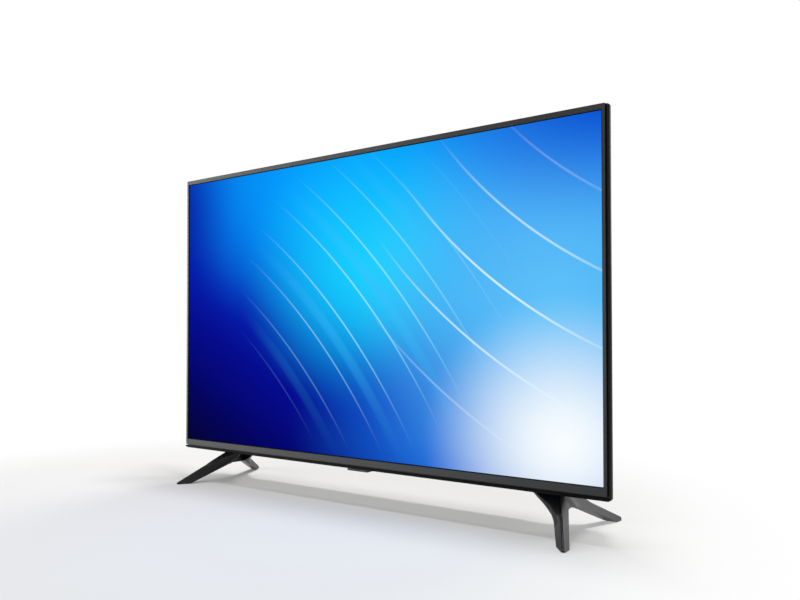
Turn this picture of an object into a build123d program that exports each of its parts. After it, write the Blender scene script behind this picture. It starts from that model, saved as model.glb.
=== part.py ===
from build123d import *
import math
import os

# A flat LCD television of the 43-inch class that stands on two splayed legs.
# Millimetres. +Z is up, the screen faces -Y, and +X is on the viewer's right.
# The origin is on the surface that the feet stand on, midway between the legs.

# Picture and front frame
active_width = 945.1
active_height = 531.6
mask_line = 1.0
bezel_side = 4.95
bezel_top = 8.3
bezel_chin = 11.6

# Stand
front_plane = -49.5
underside_height = 63.5
lip_height = 7.7

# Cabinet shell
cabinet_wall = 2.5
side_flare = 4.5
top_flare = 1.5
rim_setback = 5.5
rim_depth = 6.0
upper_depth = 38.0
lower_depth = 71.0
tower_depth = 74.0

# One overrun serves every cut
overrun = 6.0

# Worked out from the sizes above
window_width = active_width + 2 * mask_line
window_height = active_height + 2 * mask_line
bezel_width = window_width + 2 * bezel_side
bezel_height = window_height + bezel_top + bezel_chin
bezel_bottom = underside_height + lip_height
bezel_head = bezel_bottom + bezel_height
window_bottom = bezel_bottom + bezel_chin
window_head = window_bottom + window_height
active_bottom = window_bottom + mask_line
active_head = active_bottom + active_height
cabinet_half = bezel_width / 2 + side_flare
cabinet_head = bezel_head + top_flare


def behind(depth):
    """The Y of a plane that lies a depth behind the face of the bezel."""
    return front_plane + depth


def block(x0, x1, y0, y1, z0, z1):
    """A box between two corners."""
    size = Box(x1 - x0, y1 - y0, z1 - z0)
    return Pos((x0 + x1) / 2, (y0 + y1) / 2, (z0 + z1) / 2) * size


def upright(x, y, z):
    """A sketch plane that faces the viewer: across is +X and up is +Z."""
    return Plane(origin=(x, y, z), x_dir=(1, 0, 0), z_dir=(0, -1, 0))


def outline(x0, x1, z0, z1, corner, y):
    """A rectangle with round corners that stands at one Y."""
    sheet = upright((x0 + x1) / 2, y, (z0 + z1) / 2)
    if corner > 0:
        return sheet * RectangleRounded(x1 - x0, z1 - z0, corner)
    return sheet * Rectangle(x1 - x0, z1 - z0)


def slab(x0, x1, z0, z1, corner, y0, y1):
    """A plate with round corners, from y0 back to y1."""
    return extrude(outline(x0, x1, z0, z1, corner, y0), amount=-(y1 - y0))


def tapered(sections):
    """A solid through outlines at growing Y, with straight sides between them."""
    faces = [outline(*section).face() for section in sections]
    return loft(faces, ruled=True)


def ring(outer, inner, y0, y1):
    """A flat frame. Outer and inner are x0, x1, z0, z1."""
    return slab(*outer, 0, y0, y1) - slab(*inner, 0, y0 - overrun, y1 + overrun)


def grown(box, margin):
    """The same x0, x1, z0, z1 with a margin added all round."""
    return (box[0] - margin, box[1] + margin, box[2] - margin, box[3] + margin)


def rod(x, z, radius, y0, y1):
    """A round bar along Y."""
    return extrude(upright(x, y0, z) * Circle(radius), amount=-(y1 - y0))


def post(x, y, radius, z0, z1):
    """A round bar along Z."""
    return Pos(x, y, (z0 + z1) / 2) * Cylinder(radius, z1 - z0)


def prism_x(points, x0, x1):
    """A solid whose outline in Y and Z runs along X."""
    sheet = Plane(origin=(x0, 0, 0), x_dir=(0, 1, 0), z_dir=(1, 0, 0))
    return extrude(sheet * Polygon(*points, align=None), amount=x1 - x0, dir=(1, 0, 0))


def save(shape, name):
    """Writes one node. A list is kept as separate solids."""
    if isinstance(shape, list):
        shape = Compound(children=[solid for piece in shape for solid in piece.solids()])
    export_step(shape, f"parts/{name}.step")


os.makedirs("parts", exist_ok=True)

# Boxes in X and Z that several pieces share
bezel_box = (-bezel_width / 2, bezel_width / 2, bezel_bottom, bezel_head)
window_box = (-window_width / 2, window_width / 2, window_bottom, window_head)

# Front bezel: a thin face with a skirt behind its outer edge
bezel_face = 1.5
bezel_skirt = 1.6
bezel_depth = 8.0
window_bevel = 0.8


def make_front_bezel():
    face = ring(bezel_box, window_box, front_plane, behind(bezel_face))
    wide = grown(window_box, window_bevel)
    bevel = tapered([(*wide, 0, front_plane), (*window_box, 0, behind(window_bevel))])
    skirt_inner = grown(bezel_box, -bezel_skirt)
    skirt = ring(bezel_box, skirt_inner, behind(bezel_face), behind(bezel_depth))
    return face + skirt - bevel


# LCD panel: the glass is larger than the picture, most of all at the bottom
glass_margin = 2.4
glass_tail = 8.0
glass_thick = 1.4
gasket_thick = 0.4
gasket_inset = 0.2
gasket_band = 1.2

gasket_back = bezel_face + gasket_thick
glass_back = gasket_back + glass_thick
glass_box = (
    -active_width / 2 - glass_margin,
    active_width / 2 + glass_margin,
    active_bottom - glass_tail,
    active_head + glass_margin,
)


def make_bezel_gasket():
    inner = grown(window_box, gasket_inset)
    outer = grown(inner, gasket_band)
    return ring(outer, inner, behind(bezel_face), behind(gasket_back))


def make_lcd_panel():
    return slab(*glass_box, 0, behind(gasket_back), behind(glass_back))


# Middle frame: a ledge behind the glass inside a wall beside it
frame_gap = 0.4
frame_wall = 1.2
ledge_thick = 1.8
ledge_band = 7.0
frame_depth = 8.6

frame_inner = grown(glass_box, frame_gap)
frame_outer = grown(frame_inner, frame_wall)
ledge_back = glass_back + ledge_thick


def make_middle_frame():
    wall = ring(frame_outer, frame_inner, behind(gasket_back), behind(frame_depth))
    opening = grown(frame_inner, -ledge_band)
    ledge = ring(frame_inner, opening, behind(glass_back), behind(ledge_back))
    return wall + ledge


# Films and diffuser plate lie behind the ledge, inside the wall
sheet_clearance = 1.2
film_thick = 0.5
diffuser_thick = 1.5

sheet_box = grown(frame_inner, -sheet_clearance)
film_back = ledge_back + film_thick
diffuser_back = film_back + diffuser_thick


def make_optical_film():
    return slab(*sheet_box, 0, behind(ledge_back), behind(film_back))


def make_diffuser_plate():
    return slab(*sheet_box, 0, behind(film_back), behind(diffuser_back))


# Backlight tray: a pressed pan with a flange under the diffuser plate
tray_steel = 0.8
tray_flange = 12.0
tray_slope = 20.0
tray_floor_depth = 26.0
tray_corner = 18.0
rib_height = 1.8
rib_band = 16.0
rib_inset = 44.0

flange_back = diffuser_back + tray_steel
tray_rim_box = sheet_box
tray_mouth_box = grown(tray_rim_box, -tray_flange)
tray_floor_box = grown(tray_mouth_box, -tray_slope)
tray_back = tray_floor_depth + tray_steel

# Boards stand on bosses that are pressed into the tray
board_thick = 1.6
board_stand = 13.0
board_front = tray_back + board_stand
board_back = board_front + board_thick
boss_radius = 4.0
boss_inset = 7.0

# The boards fill the space between the wall-mount inserts and the recesses in the tower
tower_half = 332.0
recess_reach = 58.0
vesa_pitch = 200.0
insert_radius = 8.0
board_insert_gap = 10.0
board_wall_gap = 12.0
board_low = 226.0
board_high = 396.0

recess_wall_x = tower_half - recess_reach
board_inner_x = vesa_pitch / 2 + insert_radius + board_insert_gap
board_outer_x = recess_wall_x - board_wall_gap
main_board_box = (board_inner_x, board_outer_x, board_low, board_high)
power_board_box = (-board_outer_x, -board_inner_x, board_low, board_high)


def along_board(share):
    """The X of a place on the main board, from its inner side (0) to its outer side (1)."""
    return board_inner_x + share * (board_outer_x - board_inner_x)


# Cover screws go through the back of the cover into bosses on the tray
screw_radius = 1.9
screw_head_radius = 3.6
screw_head_height = 2.0
screw_bite = 6.0
screw_clearance = 0.05
screw_socket_radius = 1.6
screw_socket_depth = 1.2
cover_boss_radius = 5.0
screw_side_inset = 42.15
screw_mid_x = 150.0
screw_head_inset = 45.0
screw_waist_z = 290.0
screw_foot_inset = 67.4

screw_side_x = tray_floor_box[1] - screw_side_inset
screw_head_z = tray_floor_box[3] - screw_head_inset
screw_foot_z = tray_floor_box[2] + screw_foot_inset

cover_screw_places = [
    (side * x, z, depth)
    for side in (-1, 1)
    for x, z, depth in (
        (screw_side_x, screw_head_z, upper_depth),
        (screw_mid_x, screw_head_z, upper_depth),
        (screw_side_x, screw_waist_z, upper_depth),
        (screw_side_x, screw_foot_z, lower_depth),
    )
]


def corners(box, inset):
    """The four corner places of a box, moved inwards."""
    x0, x1, z0, z1 = grown(box, -inset)
    return [(x0, z0), (x1, z0), (x1, z1), (x0, z1)]


def make_backlight_tray():
    flange = ring(tray_rim_box, tray_mouth_box, behind(diffuser_back), behind(flange_back))
    mouth = (*grown(tray_mouth_box, tray_steel), tray_corner, behind(diffuser_back))
    floor = (*grown(tray_floor_box, tray_steel), tray_corner, behind(tray_back))
    pan = tapered([mouth, floor])
    inner_mouth = (*tray_mouth_box, tray_corner, behind(diffuser_back))
    inner_floor = (*tray_floor_box, tray_corner, behind(tray_floor_depth))
    hollow = tapered([inner_mouth, inner_floor])
    tray = flange + pan - hollow
    band = grown(tray_floor_box, -rib_inset)
    rib = ring(band, grown(band, -rib_band), behind(tray_back), behind(tray_back + rib_height))
    tray = tray + rib
    for box in (main_board_box, power_board_box):
        for x, z in corners(box, boss_inset):
            tray = tray + rod(x, z, boss_radius, behind(tray_back), behind(board_front))
    for x, z, back in cover_screw_places:
        seat = behind(back - cabinet_wall)
        tray = tray + rod(x, z, cover_boss_radius, behind(tray_back), seat)
        hole = screw_radius + screw_clearance
        tray = tray - rod(x, z, hole, seat - screw_bite - screw_clearance, seat + overrun)
    return tray


# LED strips with a lens over each LED, and the reflector in front of them
strip_count = 4
lens_count = 7
strip_height = 15.0
strip_thick = 1.2
strip_end_gap = 17.15
lens_radius = 7.5
lens_height = 5.0
lens_crown = 3.0
lens_clearance = 1.0
reflector_thick = 0.4
reflector_inset = 8.0

strip_length = tray_floor_box[1] - tray_floor_box[0] - 2 * strip_end_gap
strip_front = tray_floor_depth - strip_thick
reflector_front = strip_front - reflector_thick
strip_places = [
    tray_floor_box[2] + (row + 0.5) * (tray_floor_box[3] - tray_floor_box[2]) / strip_count
    for row in range(strip_count)
]
lens_places = [
    strip_length * ((column + 0.5) / lens_count - 0.5) for column in range(lens_count)
]


def make_led_strips():
    half = strip_height / 2
    return [
        slab(
            -strip_length / 2,
            strip_length / 2,
            z - half,
            z + half,
            0,
            behind(strip_front),
            behind(tray_floor_depth),
        )
        for z in strip_places
    ]


def make_lens(x, z):
    """A round lens that narrows towards the viewer."""
    stem = rod(x, z, lens_radius, behind(strip_front - lens_height), behind(strip_front))
    edge = stem.edges().sort_by(Axis.Y)[0]
    return chamfer(edge, lens_crown)


def make_led_lenses():
    return [make_lens(x, z) for z in strip_places for x in lens_places]


def make_reflector_sheet():
    box = grown(tray_floor_box, -reflector_inset)
    sheet = slab(*box, 0, behind(reflector_front), behind(strip_front))
    hole = lens_radius + lens_clearance
    y0 = behind(reflector_front) - overrun
    for z in strip_places:
        for x in lens_places:
            sheet = sheet - rod(x, z, hole, y0, behind(strip_front) + overrun)
    return sheet


# Rear cover: a rim round the bezel, a thin upper body and two bulges
rim_corner = 5.0
rim_round = 2.0
rim_gap = 0.4
upper_inset = 6.0
upper_slope_side = 44.0
upper_slope_head = 42.0
upper_corner = 14.0
lower_side_inset = 38.0
lower_draft = 17.0
lower_head = 240.0
lower_slope = 35.0
tower_draft = 30.0
tower_head = 446.0
tower_slope = 30.0
bulge_corner = 10.0
bulge_bevel = 4.0
form_below = 30.0

rim_back = rim_setback + rim_depth
lower_half = cabinet_half - lower_side_inset


def make_rim():
    """The slab round the bezel, with its front edge rounded."""
    half = cabinet_half
    rim = slab(
        -half,
        half,
        underside_height,
        cabinet_head,
        rim_corner,
        behind(rim_setback),
        behind(rim_back),
    )
    return fillet(rim.faces().sort_by(Axis.Y)[0].edges(), rim_round)


def upper_body(inset):
    """The thin body behind the rim, drawn in by an inset. It runs on below the underside."""
    half = cabinet_half - inset - upper_inset
    floor = underside_height - form_below
    head = cabinet_head - inset - upper_inset
    back_half = half - upper_slope_side
    back_head = head - upper_slope_head
    sides = (-half, half, floor, head, rim_corner, behind(rim_back - inset))
    back = (-back_half, back_half, floor, back_head, upper_corner, behind(upper_depth - inset))
    return tapered([sides, back])


def bulge(half, draft, head, slope, depth, inset):
    """A raised housing with leaning sides. It runs on below the underside."""
    half = half - inset
    floor = underside_height - form_below
    head = head - inset
    shoulder_half = half - draft
    shoulder_head = head - slope
    shoulder = depth - bulge_bevel - inset
    crown = (
        -shoulder_half + bulge_bevel,
        shoulder_half - bulge_bevel,
        floor,
        shoulder_head - bulge_bevel,
        bulge_corner,
        behind(depth - inset),
    )
    return tapered(
        [
            (-half, half, floor, head, bulge_corner, behind(rim_back - inset)),
            (-shoulder_half, shoulder_half, floor, shoulder_head, bulge_corner, behind(shoulder)),
            crown,
        ]
    )


def cover_form(inset):
    """The body and both bulges, cut level at the underside or an inset above it."""
    lower = bulge(lower_half, lower_draft, lower_head, lower_slope, lower_depth, inset)
    tower = bulge(tower_half, tower_draft, tower_head, tower_slope, tower_depth, inset)
    below = block(
        -cabinet_half,
        cabinet_half,
        front_plane,
        behind(tower_depth) + overrun,
        underside_height - 2 * form_below,
        underside_height + inset,
    )
    return upper_body(inset) + lower + tower - below


# Recesses in the tower for the side sockets, the downward sockets and the inlet
recess_depth = 41.0
down_recess_shares = (1 / 18, 11 / 12)

side_recess = (recess_wall_x, tower_half + overrun, 246.0, 392.0)
down_recess = (*(along_board(share) for share in down_recess_shares), 158.0, 222.0)
inlet_recess = (-tower_half - overrun, -recess_wall_x, 286.0, 346.0)
recesses = (side_recess, down_recess, inlet_recess)


def recess_cut(box, margin):
    """The space of a recess, or with a margin the space of its walls."""
    y0 = behind(recess_depth) - margin
    return slab(*grown(box, margin), 0, y0, behind(tower_depth) + overrun)


# Wall mount: four holes on a square, level with the back of the tower
vesa_centre = 290.0
vesa_hole = 3.0
vesa_depth = 16.0
insert_clearance = 0.3

vesa_places = [
    (side * vesa_pitch / 2, vesa_centre + rise * vesa_pitch / 2)
    for side in (-1, 1)
    for rise in (-1, 1)
]


def make_wall_mount_inserts():
    inserts = []
    for x, z in vesa_places:
        bar = rod(x, z, insert_radius, behind(tray_back), behind(tower_depth))
        hole_start = behind(tower_depth - vesa_depth)
        inserts.append(bar - rod(x, z, vesa_hole, hole_start, behind(tower_depth) + overrun))
    return inserts


# Vents, speaker grilles and cover screws
vent_width = 3.0
vent_length = 24.0
vent_pitch = 9.0
tower_vent_count = 17
tower_vent_drop = 72.0
upper_vent_count = 41
upper_vent_drop = 104.2
vent_row_pitch = 30.0
grille_width = 2.6
grille_pitch = 6.5
grille_count = 13
grille_front = 34.0
grille_back = 56.0

tower_vent_high = tower_head - tower_vent_drop
upper_vent_high = cabinet_head - upper_vent_drop
tower_vent_rows = (tower_vent_high - vent_row_pitch, tower_vent_high)
upper_vent_rows = (upper_vent_high - vent_row_pitch, upper_vent_high)


def vent_cuts(rows, count, back):
    """Upright slots through one flat part of the back."""
    cuts = []
    half = vent_width / 2
    y0 = behind(back) - cabinet_wall - overrun / 2
    for z in rows:
        z0 = z - vent_length / 2
        for column in range(count):
            x = (column - (count - 1) / 2) * vent_pitch
            cuts.append(block(x - half, x + half, y0, behind(back) + overrun, z0, z0 + vent_length))
    return cuts


def make_rear_cover_screws():
    screws = []
    for x, z, back in cover_screw_places:
        under_head = behind(back) - screw_head_height / 2
        tip = behind(back - cabinet_wall) - screw_bite
        head = rod(x, z, screw_head_radius, under_head, under_head + screw_head_height)
        socket_floor = under_head + screw_head_height - screw_socket_depth
        socket = rod(x, z, screw_socket_radius, socket_floor, under_head + screw_head_height)
        screws.append(head - socket + rod(x, z, screw_radius, tip, under_head))
    return screws


# Where each leg stands: its ridge is set in from the side of the cabinet
leg_inset = 93.1
bracket_inner_reach = 53.9
bracket_outer_reach = 12.1

leg_x = cabinet_half - leg_inset
bracket_x0 = leg_x - bracket_inner_reach
bracket_x1 = leg_x + bracket_outer_reach

# Speakers: a closed box on the floor of the cover, beside the leg's bracket, facing down
speaker_gap = 19.0
speaker_width = 110.0
speaker_front = 31.0
speaker_back = 59.0
speaker_height = 52.0
speaker_wall = 2.0
cone_long = 70.0
cone_short = 20.0
cone_surround = 0.6
cone_height = 6.0
cone_travel = 1.0
cone_stem = 9.0
cone_stem_height = 10.0
magnet_radius = 12.0
magnet_height = 12.0
magnet_gap = 0.8

floor_top = underside_height + cabinet_wall
speaker_x = bracket_x0 - speaker_gap - speaker_width / 2
speaker_base = floor_top
speaker_mid = (speaker_front + speaker_back) / 2


def grille_cuts(side):
    """Slots under one speaker."""
    cuts = []
    for column in range(grille_count):
        x = side * speaker_x + (column - (grille_count - 1) / 2) * grille_pitch
        half = grille_width / 2
        z0 = underside_height - overrun
        cuts.append(
            block(x - half, x + half, behind(grille_front), behind(grille_back), z0, floor_top)
        )
    return cuts


def make_speaker_box(side):
    x = side * speaker_x
    half = speaker_width / 2
    z0 = speaker_base
    z1 = speaker_base + speaker_height
    box = block(x - half, x + half, behind(speaker_front), behind(speaker_back), z0, z1)
    wall = speaker_wall
    room = block(
        x - half + wall,
        x + half - wall,
        behind(speaker_front + wall),
        behind(speaker_back - wall),
        z0 + wall,
        z1 - wall,
    )
    hole = Pos(x, behind(speaker_mid), z0) * Box(
        cone_long + 2 * cone_surround, cone_short + 2 * cone_surround, 2 * wall + overrun
    )
    magnet = post(x, behind(speaker_mid), magnet_radius, z1 - wall - magnet_height, z1 - wall)
    pocket_radius = cone_stem / 2 + magnet_gap
    pocket_foot = z1 - wall - magnet_height - overrun
    coil_pocket = post(x, behind(speaker_mid), pocket_radius, pocket_foot, z1 - wall - magnet_gap)
    return box - room - hole + (magnet - coil_pocket)


def make_speaker_cone(side):
    """A shallow oblong cone with its coil former on top."""
    x = side * speaker_x
    z0 = speaker_base + cone_travel + magnet_gap
    plate = Pos(x, behind(speaker_mid), z0) * Rectangle(cone_long, cone_short)
    top = Pos(x, behind(speaker_mid), z0 + cone_height) * Rectangle(cone_stem, cone_stem)
    cone = loft([plate.face(), top.face()], ruled=True)
    stem_head = speaker_base + speaker_height - speaker_wall - magnet_height + cone_stem_height / 2
    return cone + post(x, behind(speaker_mid), cone_stem / 2, z0 + cone_height, stem_head)


# Sensor pod under the middle of the chin, with its window and the power button
pod_half = 24.0
pod_front = 7.8
pod_back = 24.0
pod_drop = 4.8
pod_wall = 1.5
pod_round = 1.6
pod_window_half = 9.0
pod_window_height = 2.6
pod_mouth_inset = 2.5
button_length = 13.0
button_width = 7.0
button_clearance = 0.35
button_proud = 0.4
button_flange = 1.6
button_flange_thick = 0.9
button_rest_gap = 0.3
button_travel = 0.8
switch_gap = 0.3
switch_size = 6.0
switch_height = 1.8
sensor_board_thick = 1.2
sensor_post_radius = 1.6

pod_floor = underside_height - pod_drop
pod_mid = (pod_front + pod_back) / 2
sensor_post_height = 4.4
sensor_board_base = floor_top + sensor_post_height
button_head = sensor_board_base - switch_height - switch_gap - button_travel


def make_sensor_pod():
    y0 = behind(pod_front)
    y1 = behind(pod_back)
    shell = block(-pod_half, pod_half, y0, y1, pod_floor, underside_height)
    shell = fillet(shell.edges().filter_by(Axis.Z), pod_round)
    shell = fillet(shell.faces().sort_by(Axis.Z)[0].edges(), pod_wall / 2)
    room = block(
        -pod_half + pod_wall,
        pod_half - pod_wall,
        y0 + pod_wall,
        y1 - pod_wall,
        pod_floor + pod_wall,
        underside_height + overrun,
    )
    hole = block(
        -button_length / 2 - button_clearance,
        button_length / 2 + button_clearance,
        behind(pod_mid) - button_width / 2 - button_clearance,
        behind(pod_mid) + button_width / 2 + button_clearance,
        pod_floor - overrun,
        underside_height,
    )
    return shell - room - hole - pod_window_space()


def pod_window_space():
    """The window, which is flush with the front wall of the pod."""
    z_mid = (pod_floor + pod_wall + underside_height) / 2
    return block(
        -pod_window_half,
        pod_window_half,
        behind(pod_front),
        behind(pod_front) + pod_wall,
        z_mid - pod_window_height / 2,
        z_mid + pod_window_height / 2,
    )


def make_power_button():
    """The cap, its flange above the pod's floor and the stem under the switch."""
    x = button_length / 2
    y = button_width / 2
    mid = behind(pod_mid)
    foot = pod_floor - button_proud
    seat = pod_floor + pod_wall + button_rest_gap
    cap = block(-x, x, mid - y, mid + y, foot, seat)
    cap = fillet(cap.edges().filter_by(Axis.Z), button_width / 4)
    wide = button_flange
    flange = block(-x - wide, x + wide, mid - y, mid + y, seat, seat + button_flange_thick)
    stem = post(0, mid, switch_size / 3, seat + button_flange_thick, button_head)
    return cap + flange + stem


def make_sensor_board():
    """The board over the pod with the switch that the button presses."""
    z1 = sensor_board_base + sensor_board_thick
    inset = pod_mouth_inset
    y0 = behind(pod_front + inset)
    y1 = behind(pod_back - inset)
    board = block(-pod_half, pod_half, y0, y1, sensor_board_base, z1)
    half = switch_size / 2
    z0 = sensor_board_base - switch_height
    mid = behind(pod_mid)
    return board + block(-half, half, mid - half, mid + half, z0, sensor_board_base)


def pod_mouth():
    """The slot in the cover's floor over the pod."""
    inset = pod_mouth_inset + pod_wall
    return block(
        -pod_half + 2 * inset,
        pod_half - 2 * inset,
        behind(pod_front + inset),
        behind(pod_back - inset),
        underside_height - overrun,
        floor_top + overrun,
    )


# Bottom trim: the strip under the chin, with a ridge and a sloping lower face
trim_front = 1.5
trim_groove = 2.9
trim_ridge = 1.8
trim_slope = 2.6

trim_head = bezel_bottom - trim_groove


def make_bottom_trim():
    ridge_foot = trim_head - trim_ridge
    points = [
        (behind(trim_front), trim_head),
        (behind(rim_setback), trim_head),
        (behind(rim_setback), underside_height),
        (behind(trim_front + trim_slope), underside_height),
        (behind(trim_front), ridge_foot),
    ]
    strip = prism_x(points, -cabinet_half, cabinet_half)
    outer = (-cabinet_half, cabinet_half, underside_height, cabinet_head)
    return strip & slab(*outer, rim_corner, behind(trim_front), behind(rim_setback))


# Sockets: a metal or plastic shell with an open mouth
side_socket_mouth = recess_wall_x - 0.4 * cabinet_wall
down_socket_mouth = down_recess[3] + 0.4 * cabinet_wall
socket_seat = board_back
hdmi_mouth = (14.6, 5.4)
usb_mouth = (12.6, 5.4)
lan_mouth = (12.0, 9.6)
socket_wall = 0.8
hdmi_length = 12.0
usb_length = 14.0
lan_length = 16.0
hdmi_places = (372.0, 340.0)
usb_places = (308.0, 276.0)
hdmi_down_share = 3 / 4
lan_share = 13 / 24
optical_share = 25 / 72
aerial_share = 1 / 6
socket_cut_gap = 0.3

hdmi_down_x = along_board(hdmi_down_share)
lan_x = along_board(lan_share)
optical_x = along_board(optical_share)
aerial_x = along_board(aerial_share)


def side_socket(z, mouth, length):
    """A socket that opens to the side: its long side stands upright."""
    long, short = mouth
    wall = socket_wall
    x1 = side_socket_mouth
    y0 = behind(socket_seat)
    y1 = y0 + short + 2 * wall
    half = long / 2
    shell = block(x1 - length, x1, y0, y1, z - half - wall, z + half + wall)
    room = block(
        x1 - length + 2 * wall, x1 + overrun, y0 + wall, y1 - wall, z - half, z + half
    )
    return shell - room


def down_socket(x, mouth, length):
    """A socket that opens downwards."""
    long, short = mouth
    wall = socket_wall
    z0 = down_socket_mouth
    y0 = behind(socket_seat)
    y1 = y0 + short + 2 * wall
    half = long / 2
    shell = block(x - half - wall, x + half + wall, y0, y1, z0, z0 + length)
    room = block(
        x - half, x + half, y0 + wall, y1 - wall, z0 - overrun, z0 + length - 2 * wall
    )
    return shell - room


def side_cut(z, mouth):
    """The hole in the recess wall round a side socket."""
    long, short = mouth
    edge = socket_wall + socket_cut_gap
    y0 = behind(socket_seat) - socket_cut_gap
    y1 = behind(socket_seat) + short + 2 * socket_wall + socket_cut_gap
    half = long / 2 + edge
    x0 = recess_wall_x - cabinet_wall - overrun
    return block(x0, recess_wall_x + overrun, y0, y1, z - half, z + half)


def down_cut(x, mouth):
    """The hole in the recess roof round a downward socket."""
    long, short = mouth
    edge = socket_wall + socket_cut_gap
    y0 = behind(socket_seat) - socket_cut_gap
    y1 = behind(socket_seat) + short + 2 * socket_wall + socket_cut_gap
    half = long / 2 + edge
    z0 = down_recess[3] - overrun
    z1 = down_recess[3] + cabinet_wall + overrun
    return block(x - half, x + half, y0, y1, z0, z1)


def make_hdmi_sockets():
    sides = [side_socket(z, hdmi_mouth, hdmi_length) for z in hdmi_places]
    return sides + [down_socket(hdmi_down_x, hdmi_mouth, hdmi_length)]


def make_usb_sockets():
    return [side_socket(z, usb_mouth, usb_length) for z in usb_places]


def make_lan_socket():
    return down_socket(lan_x, lan_mouth, lan_length)


optical_size = 9.0
optical_length = 13.0
optical_hole = 3.0
optical_hole_depth = 8.0
aerial_radius = 4.7
aerial_base = 12.0
aerial_length = 15.0
aerial_bore = 1.2
aerial_bore_depth = 8.0
jack_size = 8.0
jack_length = 12.0
jack_bore = 1.75
jack_bore_depth = 10.0
jack_places = (258.0,)


def make_optical_socket():
    y_mid = behind(socket_seat) + optical_size / 2
    half = optical_size / 2
    z0 = down_socket_mouth
    body = block(
        optical_x - half, optical_x + half, y_mid - half, y_mid + half, z0, z0 + optical_length
    )
    return body - post(optical_x, y_mid, optical_hole / 2, z0 - overrun, z0 + optical_hole_depth)


def make_aerial_socket():
    half = aerial_base / 2
    y_mid = behind(socket_seat) + half
    z0 = down_socket_mouth
    z1 = z0 + aerial_length
    can = block(aerial_x - half, aerial_x + half, y_mid - half, y_mid + half, z0 + half, z1)
    barrel = post(aerial_x, y_mid, aerial_radius, z0 - half, z0 + half)
    bore_top = z0 - half + aerial_bore_depth
    bore = post(aerial_x, y_mid, aerial_bore, z0 - half - overrun, bore_top)
    return can + barrel - bore


def make_audio_jack():
    half = jack_size / 2
    y_mid = behind(socket_seat) + half
    x1 = side_socket_mouth
    z = jack_places[0]
    body = block(x1 - jack_length, x1, y_mid - half, y_mid + half, z - half, z + half)
    bore_length = jack_bore_depth + overrun
    bore = Pos(x1 - jack_bore_depth + bore_length / 2, y_mid, z) * Rot(0, 90, 0)
    return body - bore * Cylinder(jack_bore, bore_length)


def socket_cuts():
    """Every hole in the recess walls."""
    cuts = [side_cut(z, hdmi_mouth) for z in hdmi_places]
    cuts += [side_cut(z, usb_mouth) for z in usb_places]
    jack_mouth = (jack_size - 2 * socket_wall, jack_size - 2 * socket_wall)
    cuts += [side_cut(z, jack_mouth) for z in jack_places]
    cuts.append(down_cut(hdmi_down_x, hdmi_mouth))
    cuts.append(down_cut(lan_x, lan_mouth))
    optical = optical_size - 2 * socket_wall
    cuts.append(down_cut(optical_x, (optical, optical)))
    aerial = aerial_base - 2 * socket_wall
    cuts.append(down_cut(aerial_x, (aerial, aerial)))
    return cuts


# Mains inlet in its own recess, opening to the side, with two pins
inlet_width = 22.0
inlet_height = 14.0
inlet_length = 20.0
inlet_mouth_long = 14.4
inlet_mouth_short = 7.8
inlet_mouth_depth = 13.0
inlet_pin = 1.2
inlet_pin_pitch = 8.6
inlet_pin_length = 10.0
inlet_z = 316.0


def make_mains_inlet():
    x0 = -recess_wall_x + 0.4 * cabinet_wall
    x1 = x0 + inlet_length
    y_mid = behind(socket_seat) + inlet_height / 2
    z0 = inlet_z - inlet_width / 2
    z1 = inlet_z + inlet_width / 2
    half = inlet_height / 2
    body = block(x0, x1, y_mid - half, y_mid + half, z0, z1)
    short = inlet_mouth_short / 2
    long = inlet_mouth_long / 2
    mouth = block(
        x0 - overrun,
        x0 + inlet_mouth_depth,
        y_mid - short,
        y_mid + short,
        inlet_z - long,
        inlet_z + long,
    )
    inlet = body - mouth
    pin_mid = x0 + inlet_mouth_depth - inlet_pin_length / 2
    for side in (-1, 1):
        place = Pos(pin_mid, y_mid, inlet_z + side * inlet_pin_pitch / 2)
        inlet = inlet + place * Rot(0, 90, 0) * Cylinder(inlet_pin, inlet_pin_length)
    return inlet


def inlet_cut():
    half = inlet_height / 2 + socket_cut_gap
    y_mid = behind(socket_seat) + inlet_height / 2
    reach = inlet_width / 2 + socket_cut_gap
    return block(
        -recess_wall_x - overrun,
        -recess_wall_x + cabinet_wall + overrun,
        y_mid - half,
        y_mid + half,
        inlet_z - reach,
        inlet_z + reach,
    )


# Boards and what they carry
sink_size = 46.0
sink_base = 3.0
sink_height = 16.0
sink_fins = 7
sink_fin = 1.6
sink_share = 4 / 9
sink_z = 316.0
wifi_width = 26.0
wifi_height = 15.0
wifi_thick = 4.0
wifi_share = 2 / 9
wifi_z = 374.0
transformer_size = 38.0
transformer_height = 24.0
transformer_share = 31 / 72
transformer_z = 330.0
capacitor_radius = 9.0
capacitor_height = 26.0
capacitor_shares = (19 / 24, 5 / 8, 5 / 24)
capacitor_heights = (276.0, 276.0, 252.0)
plate_length = 60.0
plate_thick = 2.0
plate_height = 26.0
plate_z = 378.0

sink_x = along_board(sink_share)
wifi_x = along_board(wifi_share)
transformer_x = -along_board(transformer_share)
plate_x = transformer_x
capacitor_places = [
    (-along_board(share), z) for share, z in zip(capacitor_shares, capacitor_heights)
]


def make_board(box):
    return slab(*box, 0, behind(board_front), behind(board_back))


def make_heat_sink():
    half = sink_size / 2
    y0 = behind(board_back)
    y_fin = y0 + sink_base
    y1 = y0 + sink_height
    sink = block(sink_x - half, sink_x + half, y0, y_fin, sink_z - half, sink_z + half)
    for fin in range(sink_fins):
        x = sink_x - half + fin * (sink_size - sink_fin) / (sink_fins - 1)
        sink = sink + block(x, x + sink_fin, y_fin, y1, sink_z - half, sink_z + half)
    return sink


def make_wifi_module():
    y0 = behind(board_back)
    x = wifi_width / 2
    z = wifi_height / 2
    return block(wifi_x - x, wifi_x + x, y0, y0 + wifi_thick, wifi_z - z, wifi_z + z)


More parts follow.
